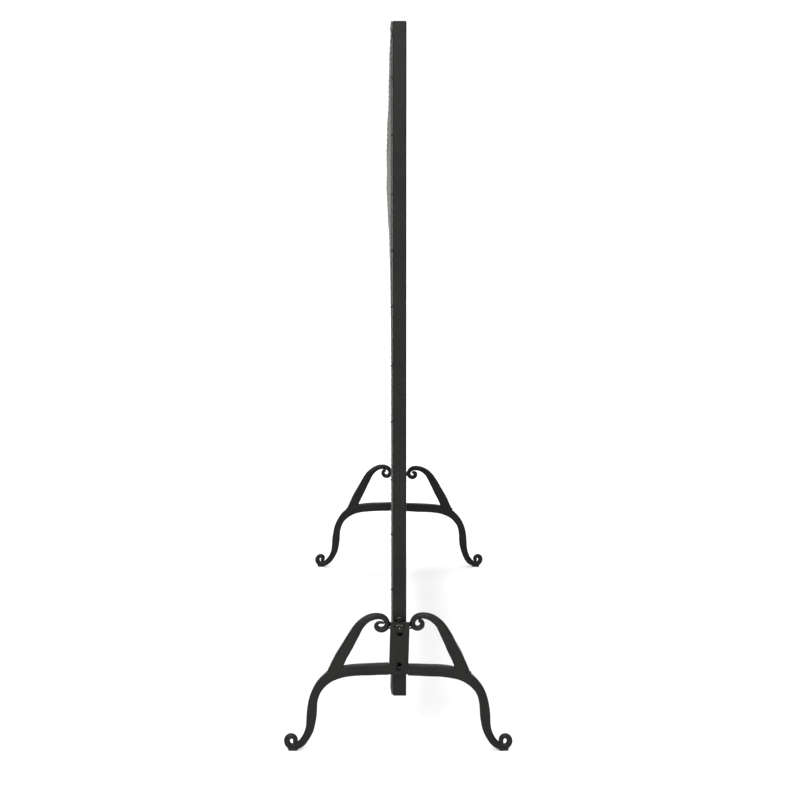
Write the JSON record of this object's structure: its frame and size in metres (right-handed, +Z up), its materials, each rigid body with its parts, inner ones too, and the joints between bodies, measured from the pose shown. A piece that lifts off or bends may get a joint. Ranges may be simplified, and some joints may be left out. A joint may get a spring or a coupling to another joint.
{
  "type": "free-standing wire panel stand",
  "caption": "Free-standing display panel of woven wire in a square-tube frame, held upright by scroll-footed forged stands screwed to its ends.",
  "frame": {"origin": "on the floor, midway between the four feet", "axes": "+Z up, X along the panel, Y across it with the woven wire on the +Y face of the frame"},
  "size_m": [1.0116, 0.2534, 0.801],
  "materials": {
    "frame_paint": "satin black paint",
    "forged_paint": "satin black paint over forged iron",
    "wire_paint": "satin black painted woven wire",
    "fixings": "black plated screw and washer",
    "inner_steel": "plain steel",
    "foot_rubber": "matte black rubber"
  },
  "bodies": {
    "frame": {"side_rail_left": "frame_paint", "side_rail_right": "frame_paint", "top_rail": "frame_paint", "bottom_rail": "frame_paint", "top_strip": "frame_paint", "bottom_strip": "frame_paint", "wire_panel": "wire_paint", "tack_welds": "wire_paint", "nut_plate_left": "inner_steel", "nut_plate_right": "inner_steel", "nut_plate_rivet_left": "fixings", "nut_plate_rivet_right": "fixings", "spacer_left": "fixings", "spacer_right": "fixings"},
    "stand_left": {"plate_left": "forged_paint", "leg_left_front": "forged_paint", "brace_left_front": "forged_paint", "scroll_weld_left_front": "forged_paint", "foot_pad_left_front": "foot_rubber", "leg_left_back": "forged_paint", "brace_left_back": "forged_paint", "scroll_weld_left_back": "forged_paint", "foot_pad_left_back": "foot_rubber"},
    "screw_left": {"screw_left": "fixings", "washer_left": "fixings"},
    "stand_right": {"plate_right": "forged_paint", "leg_right_front": "forged_paint", "brace_right_front": "forged_paint", "scroll_weld_right_front": "forged_paint", "foot_pad_right_front": "foot_rubber", "leg_right_back": "forged_paint", "brace_right_back": "forged_paint", "scroll_weld_right_back": "forged_paint", "foot_pad_right_back": "foot_rubber"},
    "screw_right": {"screw_right": "fixings", "washer_right": "fixings"}
  },
  "joints": [
    {"name": "stand_left_slide", "type": "slide", "parent": "frame", "child": "stand_left", "axis": [0, 0, 1], "range_m": [0, 0.007]},
    {"name": "screw_left_turn", "type": "hinge", "parent": "frame", "child": "screw_left", "pos_m": [-0.5015, 0, 0.1405], "axis": [-1, 0, 0], "range_deg": [0, 360]},
    {"name": "stand_right_slide", "type": "slide", "parent": "frame", "child": "stand_right", "axis": [0, 0, 1], "range_m": [0, 0.007]},
    {"name": "screw_right_turn", "type": "hinge", "parent": "frame", "child": "screw_right", "pos_m": [0.5015, 0, 0.1405], "axis": [1, 0, 0], "range_deg": [0, 360]}
  ]
}
